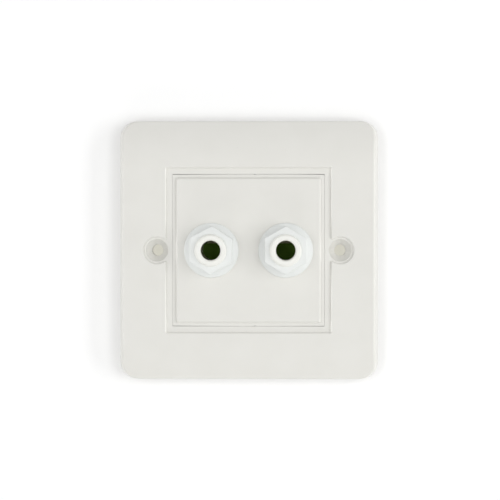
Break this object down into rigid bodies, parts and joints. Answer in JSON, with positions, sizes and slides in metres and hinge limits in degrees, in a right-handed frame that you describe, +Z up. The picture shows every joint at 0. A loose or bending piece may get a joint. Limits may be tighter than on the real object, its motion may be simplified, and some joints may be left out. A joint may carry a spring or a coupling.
{
  "type": "twin jack socket wall plate",
  "caption": "Square white wall plate with a clip-in module that carries jack sockets side by side, each held by a flanged hexagon nut, with terminals on a board behind.",
  "frame": {"origin": "middle of the plate's rear rim, in the plane of the wall", "axes": "+Z up, +X to the right seen from the front, +Y into the wall, so the front faces -Y"},
  "size_m": [0.086, 0.0454, 0.086],
  "materials": {
    "plate_plastic": "smooth white moulding",
    "jack_plastic": "warm white moulding",
    "nut_plastic": "cool white moulding",
    "nickel": "nickel plated",
    "spring_alloy": "nickel silver strip",
    "board": "green solder mask on glass laminate",
    "terminal_plastic": "pale grey moulding",
    "tinned": "tin plated"
  },
  "bodies": {
    "wall_plate": {"front_plate": "plate_plastic", "module_insert": "plate_plastic", "circuit_board": "board", "jack_body_left": "jack_plastic", "jack_nut_left": "nut_plastic", "sleeve_contact_left": "nickel", "break_contact_left": "spring_alloy", "terminal_block_left": "terminal_plastic", "terminal_blade_left_1": "tinned", "terminal_blade_left_2": "tinned", "terminal_blade_left_3": "tinned", "jack_body_right": "jack_plastic", "jack_nut_right": "nut_plastic", "sleeve_contact_right": "nickel", "break_contact_right": "spring_alloy", "terminal_block_right": "terminal_plastic", "terminal_blade_right_1": "tinned", "terminal_blade_right_2": "tinned", "terminal_blade_right_3": "tinned"},
    "tip_spring_left": {"tip_spring_left": "spring_alloy"},
    "tip_spring_right": {"tip_spring_right": "spring_alloy"}
  },
  "joints": [
    {"name": "tip_spring_left_flex", "type": "hinge", "parent": "wall_plate", "child": "tip_spring_left", "pos_m": [-0.01225, 0.0188, 0.0064], "axis": [-1, 0, 0], "range_deg": [0, 9], "stiffness_Nm_per_rad": 0.15, "springref_deg": -2.86},
    {"name": "tip_spring_right_flex", "type": "hinge", "parent": "wall_plate", "child": "tip_spring_right", "pos_m": [0.01225, 0.0188, 0.0064], "axis": [-1, 0, 0], "range_deg": [0, 9], "stiffness_Nm_per_rad": 0.15, "springref_deg": -2.86}
  ]
}
